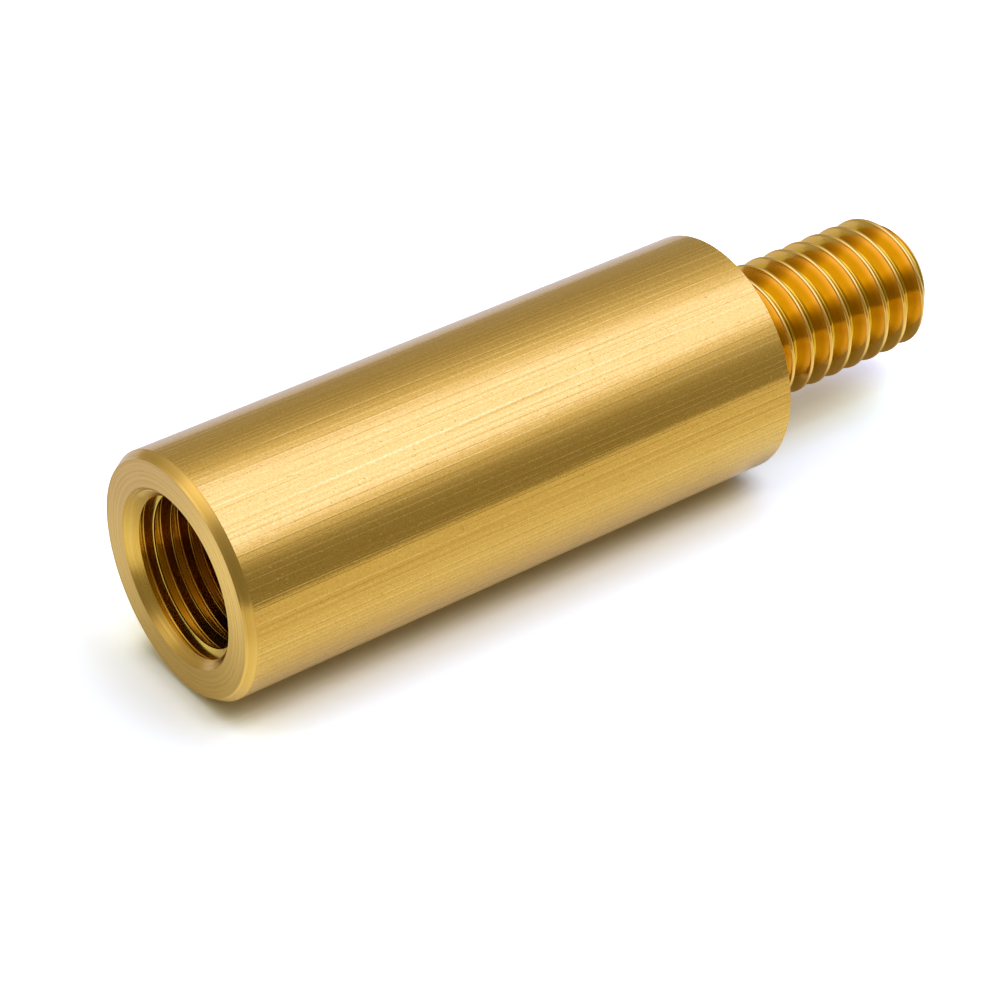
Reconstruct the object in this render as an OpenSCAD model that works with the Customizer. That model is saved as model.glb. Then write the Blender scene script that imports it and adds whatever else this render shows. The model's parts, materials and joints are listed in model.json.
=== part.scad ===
// Threaded spacer: one round brass bar, turned all over, with a tapped socket in one end
// and a threaded stud on the other. It stands on its socket end, with that face at z = 0
// and the stud pointing up. Sizes are in millimetres.
// The thread ridges are not cut here. The stud is drawn at the outside diameter of its
// thread, and the socket at the diameter it is drilled to before it is tapped.

/* [Body] */
// Diameter of the round body
body_d = 13.9; // [12.6:0.1:20]
// Length of the body, from the socket face to the shoulder
body_len = 35.8; // [30:0.1:80]
// Length along the axis of the bevel round the socket face
bevel_len = 0.53; // [0.1:0.01:1.2]
// How far that bevel comes in from the side of the body
bevel_in = 0.35; // [0.1:0.01:0.6]
// Size of the small broken edge round the shoulder
rim_break = 0.09; // [0.03:0.01:0.4]

/* [Stud] */
// Outside diameter of the stud's thread, 5/16 inch
stud_d = 7.94; // [5:0.01:9.5]
// Length of the stud, from the shoulder to its tip
stud_len = 13.8; // [6:0.1:30]
// Size of the 45 degree bevel at the stud's tip
tip_bevel = 1.15; // [0.3:0.05:2]

/* [Socket] */
// Drilled diameter of the socket, ready for a 3/8 inch fine thread
bore_d = 8.5; // [5:0.1:9.4]
// Depth of the full diameter, measured from the socket face
bore_depth = 18; // [8:0.5:24]
// Diameter of the countersunk mouth at the socket face
mouth_d = 10.1; // [9.6:0.1:11]
// Angle across the countersunk mouth
mouth_angle = 90; // [60:1:120]
// Angle across the point at the bottom of the drilled hole
point_angle = 118; // [90:1:140]

/* [Hidden] */
$fn = 96;
body_r = body_d / 2;
stud_r = stud_d / 2;
bore_r = bore_d / 2;
mouth_r = mouth_d / 2;
mouth_len = (mouth_r - bore_r) / tan(mouth_angle / 2);
point_len = bore_r / tan(point_angle / 2);
// How far the mouth's cutting cone runs on below the face it opens through
overcut = 0.5;

// Half section of the turned outside, as radius and height: socket face, bevel, body side,
// broken edge, flat shoulder, stud and the bevel at its tip.
module outside() {
    rotate_extrude()
        polygon([
            [0, 0],
            [body_r - bevel_in, 0],
            [body_r, bevel_len],
            [body_r, body_len - rim_break],
            [body_r - rim_break, body_len],
            [stud_r, body_len],
            [stud_r, body_len + stud_len - tip_bevel],
            [stud_r - tip_bevel, body_len + stud_len],
            [0, body_len + stud_len]
        ]);
}

// Half section of what is drilled out: countersunk mouth, straight wall and drill point.
module socket() {
    rotate_extrude()
        polygon([
            [0, -overcut],
            [mouth_r + overcut * tan(mouth_angle / 2), -overcut],
            [bore_r, mouth_len],
            [bore_r, bore_depth],
            [0, bore_depth + point_len]
        ]);
}

module spacer() {
    color([0.80, 0.62, 0.33])
        difference() {
            outside();
            socket();
        }
}

spacer();
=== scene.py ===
import json
import math

import bpy
from mathutils import Matrix, Vector


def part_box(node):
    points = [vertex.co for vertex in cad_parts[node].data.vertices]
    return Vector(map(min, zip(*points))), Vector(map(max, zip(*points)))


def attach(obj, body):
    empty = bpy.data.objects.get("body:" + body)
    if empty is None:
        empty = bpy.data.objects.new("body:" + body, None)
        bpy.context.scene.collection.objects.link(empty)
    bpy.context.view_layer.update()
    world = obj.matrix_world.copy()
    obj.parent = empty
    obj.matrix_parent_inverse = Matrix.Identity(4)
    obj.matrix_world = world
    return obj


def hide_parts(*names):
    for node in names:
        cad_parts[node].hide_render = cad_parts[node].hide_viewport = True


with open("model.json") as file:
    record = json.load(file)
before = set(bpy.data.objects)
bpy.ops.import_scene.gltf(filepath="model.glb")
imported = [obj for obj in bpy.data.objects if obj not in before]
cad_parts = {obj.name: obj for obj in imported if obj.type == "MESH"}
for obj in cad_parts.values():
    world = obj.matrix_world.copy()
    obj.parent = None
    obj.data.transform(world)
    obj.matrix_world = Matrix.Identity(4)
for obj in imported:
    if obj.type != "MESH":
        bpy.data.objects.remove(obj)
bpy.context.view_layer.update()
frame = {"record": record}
mm = 0.001
mounts = {mount["name"]: mount for mount in frame["record"]["mounts"]}
print("frame loaded")


# Sizes that the solids fix: the high corner of the spacer and its mounts

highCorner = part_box("spacer")[1]
bodyRadius = round(highCorner.x / mm, 3) * mm
shoulderHeight = mounts["shoulder"]["pos_m"][2]
tipHeight = highCorner.z
studRadius = mounts["stud"]["dims"]["r_mm"] * mm
boreRadius = mounts["socket"]["dims"]["r_mm"] * mm
boreDepth = mounts["socket"]["pos_m"][2] + mounts["socket"]["dims"]["length_mm"] * mm

blank = {
    "bevelLength": 0.53 * mm,    # bevel round the socket face, along the axis
    "bevelIn": 0.35 * mm,        # and in from the side
    "rimBreak": 0.09 * mm,       # broken edge round the shoulder
    "mouthRadius": 5.05 * mm,    # countersunk mouth, 90 degrees across
    "pointAngle": 118,           # drill point at the bottom of the socket
    "steps": 256,                # facets round the turned surfaces
}
pointLength = boreRadius / math.tan(math.radians(blank["pointAngle"] / 2))

studThread = {
    "pitch": 25.4 / 18 * mm,     # 18 turns to the inch
    "crestPhase": 37.01 * mm,    # height of one crest on the +X side
    "crestFlat": 0.13,           # share of the pitch
    "rootRadius": 0.125,         # share of the pitch
    "flank": 61,                 # degrees, between a flank's normal and straight out
    "lean": 0.16,                # of the ridge towards the body, per unit of depth
    "edgeRadius": 0.11 * mm,     # softened edges of the crest
    "tipBevel": 1.15 * mm,
    "sunk": 1 * mm,              # how far it reaches into the body
    "steps": 128,                # facets in one turn
}

socketThread = {
    "pitch": 25.4 / 24 * mm,     # 24 turns to the inch
    "crestPhase": 0.79 * mm,
    "crestFlat": 0.09,
    "rootRadius": 0.07,
    "flank": 54,
    "lean": 0.30,                # of the groove away from the mouth, per unit of depth
    "edgeRadius": 0.03 * mm,
    "depth": 15 * mm,            # the tap stops short of the drilled depth
    "taperBefore": 1.5 * mm,     # its end tapers from before that depth
    "taperBeyond": 0.5 * mm,     # to beyond it
    "steps": 112,
}


# Modelling helpers

def clearSelection():
    if bpy.context.object and bpy.context.object.mode != "OBJECT":
        bpy.ops.object.mode_set(mode="OBJECT")
    bpy.ops.object.select_all(action="DESELECT")


def pick(piece):
    clearSelection()
    piece.select_set(True)
    bpy.context.view_layer.objects.active = piece


def drawSection(name, points):
    # one vertex is drawn out move by move, as (radius, height), in the plane y = 0
    clearSelection()
    bpy.ops.mesh.primitive_plane_add(size=1 * mm, location=(0, 0, 0))
    section = bpy.context.object
    section.name = name
    bpy.ops.object.mode_set(mode="EDIT")
    bpy.ops.mesh.select_all(action="SELECT")
    bpy.ops.mesh.merge(type="CENTER")
    bpy.ops.transform.translate(value=(points[0][0], 0, points[0][1]))
    for here, there in zip(points, points[1:]):
        move = (there[0] - here[0], 0, there[1] - here[1])
        bpy.ops.mesh.extrude_vertices_move(TRANSFORM_OT_translate={"value": move})
    bpy.ops.object.mode_set(mode="OBJECT")
    return section


def tidySolid(solid, mergeDistance=0.002 * mm):
    pick(solid)
    bpy.ops.object.mode_set(mode="EDIT")
    bpy.ops.mesh.select_all(action="SELECT")
    bpy.ops.mesh.remove_doubles(threshold=mergeDistance)
    bpy.ops.mesh.select_all(action="SELECT")
    bpy.ops.mesh.normals_make_consistent(inside=False)
    bpy.ops.object.mode_set(mode="OBJECT")


def turnSolid(name, points):
    # a half section that starts and ends on the axis, spun into a closed solid
    solid = drawSection(name, points)
    bpy.ops.object.mode_set(mode="EDIT")
    bpy.ops.mesh.select_all(action="SELECT")
    bpy.ops.mesh.spin(steps=blank["steps"], angle=2 * math.pi, center=(0, 0, 0), axis=(0, 0, 1))
    bpy.ops.object.mode_set(mode="OBJECT")
    tidySolid(solid)
    return solid


def applyModifier(piece, modifier):
    pick(piece)
    bpy.ops.object.modifier_apply(modifier=modifier.name)


def combine(piece, tool, operation):
    boolean = piece.modifiers.new(operation.title(), "BOOLEAN")
    boolean.operation = operation
    boolean.solver = "MANIFOLD"
    boolean.object = tool
    before = len(piece.data.vertices), len(tool.data.vertices)
    applyModifier(piece, boolean)
    print(operation.lower(), tool.name, *before, "->", len(piece.data.vertices), "vertices")
    bpy.data.objects.remove(tool)


# Threads: one pitch of the ridge is drawn, screwed up the axis and cut to its outline

def arcPoints(centre, radius, startAngle, endAngle, count):
    angles = [math.radians(startAngle + (endAngle - startAngle) * i / count) for i in range(count + 1)]
    return [(centre[0] + radius * math.cos(a), centre[1] + radius * math.sin(a)) for a in angles]


def grooveDepth(thread):
    # the sharp V below the crest, less what the rounded root fills
    flank = math.radians(thread["flank"])
    sharpDepth = (0.5 - thread["crestFlat"] / 2) * thread["pitch"] * math.tan(flank)
    return sharpDepth - thread["rootRadius"] * thread["pitch"] * (1 / math.cos(flank) - 1)


def ridgeSection(crestRadius, thread, inward=1):
    # half a ridge from the middle of the crest to the middle of the root, then its mirror
    # image; inward is 1 for a ridge on a bolt and -1 for the groove that a tap leaves
    pitch, edgeRadius = thread["pitch"], thread["edgeRadius"]
    edgeHeight = thread["crestFlat"] * pitch / 2
    trim = edgeRadius * math.tan(math.radians(thread["flank"] / 2))
    edge = arcPoints((-edgeRadius, edgeHeight - trim), edgeRadius, 0, thread["flank"], count=3)
    root = thread["rootRadius"] * pitch
    rootCentre = (root - grooveDepth(thread), pitch / 2)
    valley = arcPoints(rootCentre, root, 180 + thread["flank"], 180, count=6)
    # two more points keep the flank flat between its rounded ends
    (highR, highZ), (lowR, lowZ) = edge[-1], valley[0]
    flat = [(highR + (lowR - highR) * share, highZ + (lowZ - highZ) * share) for share in (0.08, 0.92)]
    half = [(0, 0)] + edge + flat + valley
    wholeRidge = [(r, -z) for r, z in reversed(half[1:])] + half
    return [(crestRadius + inward * r, z - thread["lean"] * r) for r, z in wholeRidge]


def screwThread(name, section, thread, fromHeight, toHeight):
    # whole turns, with some to spare at both ends for the outline to cut off
    pitch, phase = thread["pitch"], thread["crestPhase"]
    below = math.ceil((phase - fromHeight) / pitch) + 1
    turns = math.ceil((toHeight - fromHeight) / pitch) + 3
    start = phase - below * pitch
    rod = drawSection(name, [(r, z + start) for r, z in section])
    screw = rod.modifiers.new("Screw", "SCREW")
    screw.axis = "Z"
    screw.angle = 2 * math.pi
    screw.screw_offset = pitch
    screw.iterations = turns
    screw.steps = thread["steps"]
    screw.render_steps = thread["steps"]
    screw.use_smooth_shade = True
    applyModifier(rod, screw)
    bpy.ops.object.mode_set(mode="EDIT")
    bpy.ops.mesh.select_all(action="SELECT")
    bpy.ops.mesh.remove_doubles(threshold=0.001 * mm)
    # each open end is drawn in to one point
    bpy.ops.mesh.select_mode(type="EDGE")
    bpy.ops.mesh.select_all(action="DESELECT")
    bpy.ops.mesh.select_non_manifold(use_wire=False, use_multi_face=False, use_non_contiguous=False)
    bpy.ops.mesh.extrude_edges_move()
    bpy.ops.mesh.merge(type="COLLAPSE")
    bpy.ops.mesh.select_mode(type="VERT")
    bpy.ops.mesh.select_all(action="SELECT")
    bpy.ops.mesh.normals_make_consistent(inside=False)
    bpy.ops.object.mode_set(mode="OBJECT")
    return rod


def makeStud():
    foot = shoulderHeight - studThread["sunk"]
    rod = screwThread("studRod", ridgeSection(studRadius, studThread), studThread, foot, tipHeight)
    # the outline passes this far outside the crests, up to the bevel at the tip
    clear = 0.5 * mm
    outline = turnSolid("studOutline", [
        (0, foot),
        (studRadius + clear, foot),
        (studRadius + clear, tipHeight - studThread["tipBevel"] - clear),
        (studRadius - studThread["tipBevel"], tipHeight),
        (0, tipHeight),
    ])
    combine(rod, outline, "INTERSECT")
    return rod


def makeTap():
    section = ridgeSection(boreRadius, socketThread, inward=-1)
    outside, depth = -1 * mm, socketThread["depth"]
    tap = screwThread("tap", section, socketThread, outside, depth)
    clearRadius = boreRadius + grooveDepth(socketThread) + 1 * mm
    endHeight = depth + socketThread["taperBeyond"]
    outline = turnSolid("tapOutline", [
        (0, outside),
        (clearRadius, outside),
        (clearRadius, depth - socketThread["taperBefore"]),
        (boreRadius - 0.3 * mm, endHeight),
        (0, endHeight),
    ])
    combine(tap, outline, "INTERSECT")
    return tap


def makeDrill():
    # a little small where the tap cuts the wall, full size from just before the tap's end
    tappedRadius = boreRadius - 0.1 * mm
    fullFrom = socketThread["depth"] - 1 * mm
    outside = 1 * mm
    return turnSolid("drill", [
        (0, -outside),
        (blank["mouthRadius"] + outside, -outside),
        (tappedRadius, blank["mouthRadius"] - tappedRadius),
        (tappedRadius, fullFrom),
        (boreRadius, fullFrom + 0.1 * mm),
        (boreRadius, boreDepth),
        (0, boreDepth + pointLength),
    ])


def makeSpacer():
    spacer = turnSolid("spacerTurned", [
        (0, 0),
        (bodyRadius - blank["bevelIn"], 0),
        (bodyRadius, blank["bevelLength"]),
        (bodyRadius, shoulderHeight - blank["rimBreak"]),
        (bodyRadius - blank["rimBreak"], shoulderHeight),
        (0, shoulderHeight),
    ])
    drill = makeDrill()
    combine(spacer, makeStud(), "UNION")
    print("stud screwed and joined to the body")
    combine(spacer, drill, "DIFFERENCE")
    combine(spacer, makeTap(), "DIFFERENCE")
    tidySolid(spacer, 0.0005 * mm)
    print("socket drilled, countersunk and tapped")
    return spacer


spacer = makeSpacer()
print("spacer has", len(spacer.data.vertices), "vertices and", len(spacer.data.polygons), "faces")
pick(spacer)
bpy.ops.object.shade_smooth_by_angle(angle=math.radians(24))


# Brass: one recipe for the drawn side, one for turned faces, one for the threads

class Wire:
    # the output of a node; arithmetic on it adds Math nodes
    def __init__(self, tree, socket=None):
        self.tree = tree
        self.socket = socket

    def node(self, kind, settings, values, output=0):
        made = self.tree.nodes.new(kind)
        for name, value in settings.items():
            setattr(made, name, value)
        for name, value in values.items():
            if isinstance(value, Wire):
                self.tree.links.new(value.socket, made.inputs[name])
            else:
                made.inputs[name].default_value = value
        return Wire(self.tree, made.outputs[output])

    def math(self, operation, second=0):
        return self.node("ShaderNodeMath", {"operation": operation}, {0: self, 1: second})

    def vector(self, operation, second, output=0):
        return self.node("ShaderNodeVectorMath", {"operation": operation}, {0: self, 1: second}, output)

    def stretch(self, x, y, z):
        return self.vector("MULTIPLY", (x, y, z))

    def along(self, direction):
        # how far a place lies along a direction
        return self.vector("DOT_PRODUCT", tuple(direction), "Value")

    def point(self, y, z=0):
        # this wire as X, with a Y and a Z, as the place to look up a noise at
        return self.node("ShaderNodeCombineXYZ", {}, {"X": self, "Y": y, "Z": z})

    def mix(self, first, second):
        # this wire is the factor between two colours
        return self.node("ShaderNodeMix", {"data_type": "RGBA"}, {0: self, 6: first, 7: second}, 2)

    def noise(self, scale, detail=2):
        return self.node("ShaderNodeTexNoise", {}, {"Vector": self, "Scale": scale, "Detail": detail})

    def step(self, low, high):
        # 0 below low, 1 above high, smooth between
        settings = {"interpolation_type": "SMOOTHSTEP"}
        return self.node("ShaderNodeMapRange", settings, {"Value": self, "From Min": low, "From Max": high})

    def band(self, start, full, fading, end):
        # rises from start to full and falls from fading to end
        return self.step(start, full) * (1 - self.step(fading, end))

    def __add__(self, other):
        return self.math("ADD", other)

    def __sub__(self, other):
        return self.math("SUBTRACT", other)

    def __rsub__(self, other):
        return (self * -1).math("ADD", other)

    def __mul__(self, other):
        return self.math("MULTIPLY", other)

    def __truediv__(self, other):
        return self.math("DIVIDE", other)

    __radd__ = __add__
    __rmul__ = __mul__


brassLook = {
    "colour": (0.70, 0.44, 0.108, 1),
    "deepWearAndShadeColour": (0.47, 0.26, 0.036, 1),    # in scratches and pits, and for the painted shade deep in the socket
    "paleColour": (0.86, 0.61, 0.22, 1),     # on rubbed streaks
    "threadColour": (0.80, 0.50, 0.13, 1),   # crests of the stud's thread
    "rootShadeColour": (0.64, 0.39, 0.015, 1),    # and its grooves, painted darker: painted shade in the grooves
    "socketColour": (0.655, 0.438, 0.075, 1),
    "drawnRoughness": 0.11,
    "turnedRoughness": 0.20,
    "threadRoughness": 0.11,
    "socketRoughness": 0.12,
    "drawnLines": 100,                       # round the side
    "drawnLength": 90,                       # how much longer the grain is than wide
    "scratchDepth": 0.004 * mm,              # drawing lines along the side
    "ringDepth": 0.010 * mm,                 # turning marks on the faces
    "mottleDepth": 0.002 * mm,
    "socketBelow": (30, 34),                 # mm up the spacer, between its two threads
    "socketShadeReach": (1.5, 5),               # mm in from the socket face, over which the wall is painted darker: painted shade in the bore
}


def placeWire(tree):
    # the place on the object, in millimetres
    return Wire(tree).node("ShaderNodeTexCoord", {}, {}, "Object").stretch(1 / mm, 1 / mm, 1 / mm)


def newBrass(name):
    material = bpy.data.materials.new(name)
    material.use_nodes = True
    shader = material.node_tree.nodes["Principled BSDF"]
    shader.inputs["Metallic"].default_value = 1
    return material, shader, placeWire(material.node_tree)


def fromAxis(place):
    return place.stretch(1, 1, 0).vector("LENGTH", (0, 0, 0), "Value")


def bump(shader, height, depth):
    normal = height.node("ShaderNodeBump", {}, {"Height": height, "Distance": depth, "Strength": 1})
    height.tree.links.new(normal.socket, shader.inputs["Normal"])


def paint(shader, socketName, wire):
    wire.tree.links.new(wire.socket, shader.inputs[socketName])


def makeDrawnBrass():
    look = brassLook
    material, shader, place = newBrass("brassDrawn")
    grainPlace = place.stretch(1, 1, 1 / look["drawnLength"])
    grain = grainPlace.noise(11)
    mottle = place.stretch(1, 1, 0.6).noise(5.5, detail=3)
    crackle = place.stretch(1, 1, 0.7).noise(12).step(0.4, 0.6)
    pits = place.stretch(1, 1, 0.5).noise(7).step(0.70, 0.74)
    height = place.along((0, 0, 1))
    angle = place.along((1, 0, 0)).math("ARCTAN2", place.along((0, 1, 0))) / (2 * math.pi)

    def drawnLines(count, halfWidth, weakest):
        # evenly strewn round the side, each fading in and out along its length
        turned = angle * count + grainPlace.noise(0.9, detail=1) * 2.4
        number = turned.math("FLOOR")
        shape = 1 - (turned.math("FRACT") - 0.5).math("ABSOLUTE").step(0, halfWidth)
        strength = number.point(height * 0.06, count).noise(1.3)
        return shape * strength.step(weakest, weakest + 0.25)

    lines = drawnLines(look["drawnLines"], 0.12, 0.31)
    fineLines = drawnLines(look["drawnLines"] * 2.7, 0.22, 0.42)
    streaks = drawnLines(look["drawnLines"] * 1.25, 0.12, 0.32)
    scratch = lines + fineLines * 0.25
    worn = scratch * 0.5 + pits * 0.5 + crackle * 0.36
    rubbed = (streaks * 0.9).mix(look["colour"], look["paleColour"])
    paint(shader, "Base Color", worn.mix(rubbed, look["deepWearAndShadeColour"]))
    rough = grain.step(0.3, 0.7) * 0.03 + (scratch + streaks) * 0.15
    paint(shader, "Roughness", look["drawnRoughness"] + rough)
    mottled = mottle * (look["mottleDepth"] / look["scratchDepth"])
    bump(shader, mottled + streaks * 0.25 - scratch * 0.3 - pits, look["scratchDepth"])
    return material


def makeTurnedBrass():
    look = brassLook
    material, shader, place = newBrass("brassTurned")
    rings = fromAxis(place).point(place.noise(0.35, detail=1) * 0.15)
    coarse = rings.noise(3.5)
    fine = rings.noise(8, detail=1)
    marks = coarse.step(0.35, 0.7) * 0.24 + fine.step(0.38, 0.66) * 0.38
    paint(shader, "Base Color", marks.mix(look["colour"], look["deepWearAndShadeColour"]))
    paint(shader, "Roughness", look["turnedRoughness"] + fine.step(0.3, 0.7) * 0.08)
    bump(shader, coarse + fine * 0.8, look["ringDepth"])
    return material


def makeThreadBrass():
    look = brassLook
    material, shader, place = newBrass("brassThread")
    outward = fromAxis(place)
    height = place.along((0, 0, 1))
    inSocket = 1 - height.step(*look["socketBelow"])
    # 0 at the stud's crests, 1 at its roots
    depth = 1 - outward.step((studRadius - grooveDepth(studThread)) / mm, studRadius / mm)
    lines = outward.point(place.noise(0.3, detail=1) * 0.5).noise(9)
    soft = place.noise(1.6)
    blotches = soft.step(0.35, 0.7)
    # painted shade: the grooves are painted darker and deeper orange than the crests, with random blotches
    # on top
    grooveShadeAndBlotches = (depth * 1.6).step(0, 1) * 0.85 + blotches * 0.1
    onStud = grooveShadeAndBlotches.mix(look["threadColour"], look["rootShadeColour"])
    # painted shade: the wall is painted darker from the mouth inwards, with random blotches on top
    wallShadeAndBlotches = blotches * 0.15 + height.step(*look["socketShadeReach"]) * 0.8
    onWall = wallShadeAndBlotches.mix(look["socketColour"], look["deepWearAndShadeColour"])
    paint(shader, "Base Color", inSocket.mix(onStud, onWall))
    extra = inSocket * (look["socketRoughness"] - look["threadRoughness"])
    paint(shader, "Roughness", look["threadRoughness"] + extra + lines.step(0.3, 0.7) * 0.05)
    bump(shader, lines * 0.7 + soft * 1.5, look["mottleDepth"])
    return material


def chooseMaterial(centre):
    # 0 the drawn side, 1 turned faces, 2 threads and the drilled wall
    outward, height = math.hypot(centre.x, centre.y), centre.z
    near = 0.02 * mm
    if outward > bodyRadius - near and height > blank["bevelLength"]:
        return 0
    if height > shoulderHeight + near:
        onBevel = outward + height > studRadius + tipHeight - studThread["tipBevel"] - near
        return 1 if onBevel or height > tipHeight - near else 2
    inSocket = near < height < boreDepth + pointLength and outward < blank["mouthRadius"] - near
    # the mouth's cone is turned: the thread's grooves lie outside it, and it ends below 1.2 mm
    pastCone = outward + height > blank["mouthRadius"] + near * 2 or height > 1.2 * mm
    return 2 if inSocket and pastCone else 1


spacer.data.materials.clear()
for material in (makeDrawnBrass(), makeTurnedBrass(), makeThreadBrass()):
    spacer.data.materials.append(material)
for face in spacer.data.polygons:
    face.material_index = chooseMaterial(face.center)
print("brass materials on")

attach(spacer, "root")
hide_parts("spacer")


# Camera: the spacer lies on its side, and "up" there is the model's direction below

photoView = {
    "lookDown": math.radians(35.408),   # below the horizon
    "axisTurn": math.radians(36.909),   # of the spacer's axis away from the picture plane
    "right": 16.70 * mm,                # of the socket face's centre
    "back": 136.47 * mm,                # in front of it, level
    "up": 102.03 * mm,                  # above it
    "lens": 119.555,
    "sensor": 36,
}
up = Vector((1, -1, 0)).normalized()
axis = Vector((0, 0, 1))
side = axis.cross(up)
# level directions of the picture: to the right, and away from the camera
turn = photoView["axisTurn"]
rightward = math.cos(turn) * axis + math.sin(turn) * side
awayward = math.sin(turn) * axis - math.cos(turn) * side


def placeCamera():
    view = photoView
    down = view["lookDown"]
    look = math.cos(down) * awayward - math.sin(down) * up
    cameraUp = math.sin(down) * awayward + math.cos(down) * up
    data = bpy.data.cameras.new("photoCamera")
    data.lens = view["lens"]
    data.sensor_width = view["sensor"]
    data.clip_start = 1 * mm
    camera = bpy.data.objects.new("photoCamera", data)
    bpy.context.scene.collection.objects.link(camera)
    turnTo = Matrix((rightward, cameraUp, -look)).transposed().to_4x4()
    place = view["right"] * rightward - view["back"] * awayward + view["up"] * up
    camera.matrix_world = Matrix.Translation(place) @ turnTo
    bpy.context.scene.camera = camera


placeCamera()


# Stage: a white sheet under the lying spacer, its colour holding painted shadows and painted reflections,
# and a large soft light overhead

studio = {
    "sheetSize": 1.6,                      # metres
    "sheetFront": 60 * mm,                 # from the spacer's axis to the sheet's near edge
    "sheetColour": (0.88, 0.88, 0.80, 1),
    # as exposed for the camera, so that open paper is white
    "sheetSeen": (1.47, 1.54, 1.28, 1),
    "contactSeen": (0.60, 0.58, 0.42, 1),  # painted shadow close under the body
    "contactReach": (3.0, 5.4),            # mm from the line on which the body lies
    "frontSeen": (1.24, 1.26, 1.06, 1),    # painted shadow before the socket face
    "studShade": (0.98, 0.95, 0.87, 1),    # painted shadow under the stud
    "studEdge": (1.57, 1.72, 1.48, 1),     # painted lighter band along the near edge of its shadow
    # as the metal shows it: painted reflections, the sheet painted lighter close by and darker where shade
    # falls
    "sheetNear": (1.28, 1.32, 0.93, 1),    # painted lighter close by
    "nearReach": (5, 20),                  # mm, where that begins to fade and ends
    "sheetFoot": (0.80, 0.81, 0.58, 1),    # painted shade right before the socket face
    "studFoot": (0.64, 0.58, 0.35, 1),     # in the stud's shadow
    "sheetFar": (0.92, 0.86, 0.54, 1),     # painted dimmer towards the near edge
    # painted dimmer behind the spacer
    "sheetBehind": (0.78, 0.76, 0.68, 1),
    "behindReach": (-5, 0),                # mm across the spacer, where that gives way to the far one
    "panelTurn": math.radians(105.5),      # its length, from the picture's depth towards its right
    "panelShift": (0.443, 0.148),          # of its centre, along and across, per unit of height
    "panelLong": (0.075, 1.67),            # slope over the length at which it begins and is full
    "panelShort": (0.27, 3.1),             # the same over its width
    "panelEdge": (1.60, 1.60, 1.70, 1),
    "panelCore": (1.68, 1.86, 3.30, 1),
    "windowTo": (-0.659, -0.239, 0.713),   # right, away and up
    "windowReach": (0.878, 1),             # cosine of the angle to its middle, at its rim and there
    "windowColour": (0.65, 0.64, 0.60, 1),
    "roomFront": (0.293, 0.275, 0.19, 1),
    "roomBack": (0.506, 0.475, 0.36, 1),
    "roomFade": (-1.1, 0.7),               # how far away from the camera a direction points
}

# Where the sheet's patches of painted shadow, shade and light begin, are full, start to fade and end,
# in mm: along the spacer from its socket face, and across it, where plus is towards the camera
bodyEnd, studEnd = shoulderHeight / mm, tipHeight / mm
patchAlong = {
    "body": (-1.5, 1, bodyEnd - 0.5, bodyEnd + 1.5),
    "front": (-14, -1, -2, 1.5),
    "stud": (bodyEnd - 2, bodyEnd + 1, studEnd - 0.5, studEnd + 2.5),
    "foot": (-8, -0.5, -0.5, 2),
    "studFoot": (bodyEnd - 0.5, bodyEnd + 1, studEnd + 1, studEnd + 5),
}
patchAcross = {
    "front": (7, 16),                      # to either side: starts to fade and ends
    "studShade": (-12, -6, -1.5, 1.6),
    "studEdge": (0.5, 2, 3, 5),
    "foot": (-20, -8, 1.5, 3.5),
    "studFoot": (-14, -6, 2, 7),
}


# the sheet's colour for the camera, with painted shadows under the body, before the socket face and under
# the stud, and a painted lighter band beside the stud's shadow
def sheetForCamera(ahead, height):
    aside = ahead.math("ABSOLUTE")
    paintedContactShadow = (1 - aside.step(*studio["contactReach"])) * height.band(*patchAlong["body"])
    # painted shadow before the socket face
    front = height.band(*patchAlong["front"]) * (1 - aside.step(*patchAcross["front"]))
    pastBody = height.band(*patchAlong["stud"])
    # painted shadow under the stud, and a painted lighter band along its near edge
    underStud = pastBody * ahead.band(*patchAcross["studShade"])
    besideStud = pastBody * ahead.band(*patchAcross["studEdge"])
    paper = front.mix(studio["sheetSeen"], studio["frontSeen"])
    shaded = underStud.mix(besideStud.mix(paper, studio["studEdge"]), studio["studShade"])
    return paintedContactShadow.mix(shaded, studio["contactSeen"])


# the sheet's colour for the metal's reflections: painted lighter close by, painted shade before the socket
# face, a painted shadow under the stud, and dimmer farther off and behind
def sheetForMetal(ahead, height):
    far = ahead.step(*studio["behindReach"]).mix(studio["sheetBehind"], studio["sheetFar"])
    near = ahead.math("ABSOLUTE").step(*studio["nearReach"]).mix(studio["sheetNear"], far)
    foot = height.band(*patchAlong["foot"]) * ahead.band(*patchAcross["foot"])
    studFoot = height.band(*patchAlong["studFoot"]) * ahead.band(*patchAcross["studFoot"])
    return studFoot.mix(foot.mix(near, studio["sheetFoot"]), studio["studFoot"])


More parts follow.
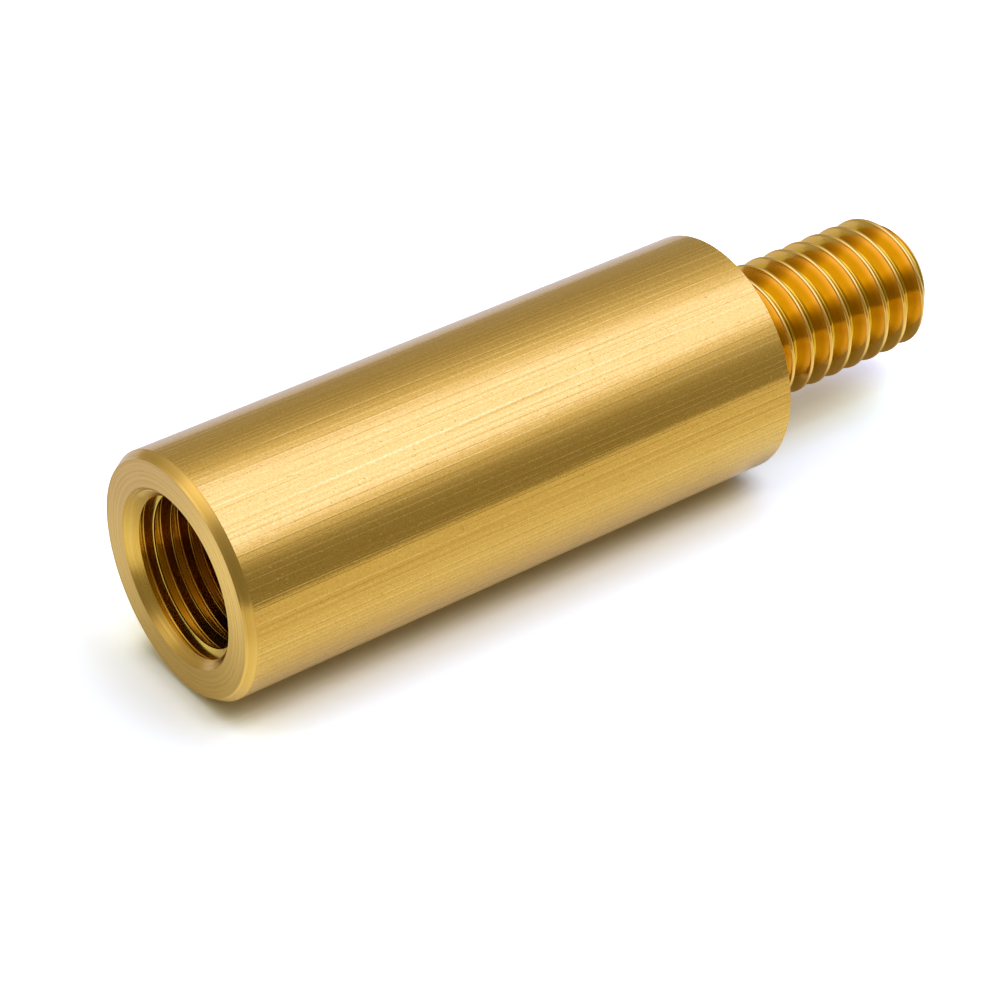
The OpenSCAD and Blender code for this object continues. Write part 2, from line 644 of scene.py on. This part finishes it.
def makeSheetMaterial():
    material = bpy.data.materials.new("sheetWhite")
    material.use_nodes = True
    tree = material.node_tree
    shader = tree.nodes["Principled BSDF"]
    shader.inputs["Roughness"].default_value = 1
    shader.inputs["Specular IOR Level"].default_value = 0
    place = placeWire(tree)
    ahead, height = place.along(side), place.along(axis)
    toCamera = place.node("ShaderNodeLightPath", {}, {}, "Is Camera Ray")
    toMetal = place.node("ShaderNodeLightPath", {}, {}, "Is Glossy Ray")
    direct = toCamera.mix(studio["sheetColour"], sheetForCamera(ahead, height))
    paint(shader, "Base Color", toMetal.mix(direct, sheetForMetal(ahead, height)))
    # see-through from below, so that the views from there show the spacer
    below = place.node("ShaderNodeNewGeometry", {}, {}, "Backfacing")
    clear = place.node("ShaderNodeBsdfTransparent", {}, {})
    sheet = place.node("ShaderNodeMixShader", {}, {0: below, 1: Wire(tree, shader.outputs[0]), 2: clear})
    tree.links.new(sheet.socket, tree.nodes["Material Output"].inputs["Surface"])
    return material


def makeFloor():
    clearSelection()
    bpy.ops.mesh.primitive_plane_add(size=studio["sheetSize"], location=(0, 0, 0))
    floor = bpy.context.object
    floor.name = "floor"
    turnTo = Matrix((side, axis, up)).transposed().to_4x4()
    reach = studio["sheetFront"] - studio["sheetSize"] / 2
    floor.data.transform(Matrix.Translation(reach * side - bodyRadius * up) @ turnTo)
    floor.data.materials.append(makeSheetMaterial())
    return floor


def lightStudio():
    world = bpy.data.worlds.new("studio")
    bpy.context.scene.world = world
    world.use_nodes = True
    tree = world.node_tree
    direction = Wire(tree).node("ShaderNodeTexCoord", {}, {}, "Generated")
    cosine, sine = math.cos(studio["panelTurn"]), math.sin(studio["panelTurn"])
    shiftAlong, shiftAcross = studio["panelShift"]
    # the panel hangs overhead: the slope up to a direction, over each of its two axes
    panelAlong = sine * rightward + cosine * awayward - shiftAlong * up
    panelAcross = sine * awayward - cosine * rightward - shiftAcross * up
    height = direction.along(up)
    longWay = height / direction.along(panelAlong).math("ABSOLUTE")
    shortWay = height / direction.along(panelAcross).math("ABSOLUTE")
    panel = longWay.step(*studio["panelLong"]) * shortWay.step(*studio["panelShort"])
    panelColour = panel.step(0.5, 1).mix(studio["panelEdge"], studio["panelCore"])
    room = direction.along(awayward).step(*studio["roomFade"]).mix(studio["roomFront"], studio["roomBack"])
    toRight, away, above = studio["windowTo"]
    windowTo = toRight * rightward + away * awayward + above * up
    window = direction.along(windowTo).step(*studio["windowReach"])
    glow = window.mix((0, 0, 0, 1), studio["windowColour"])
    light = panel.mix(room, panelColour).vector("ADD", glow)
    toCamera = direction.node("ShaderNodeLightPath", {}, {}, "Is Camera Ray")
    seen = toCamera.mix(light, (1, 1, 1, 1))
    tree.links.new(seen.socket, tree.nodes["Background"].inputs["Color"])


floor = makeFloor()
lightStudio()
bpy.context.scene.view_settings.view_transform = "Standard"
print("floor and light set")
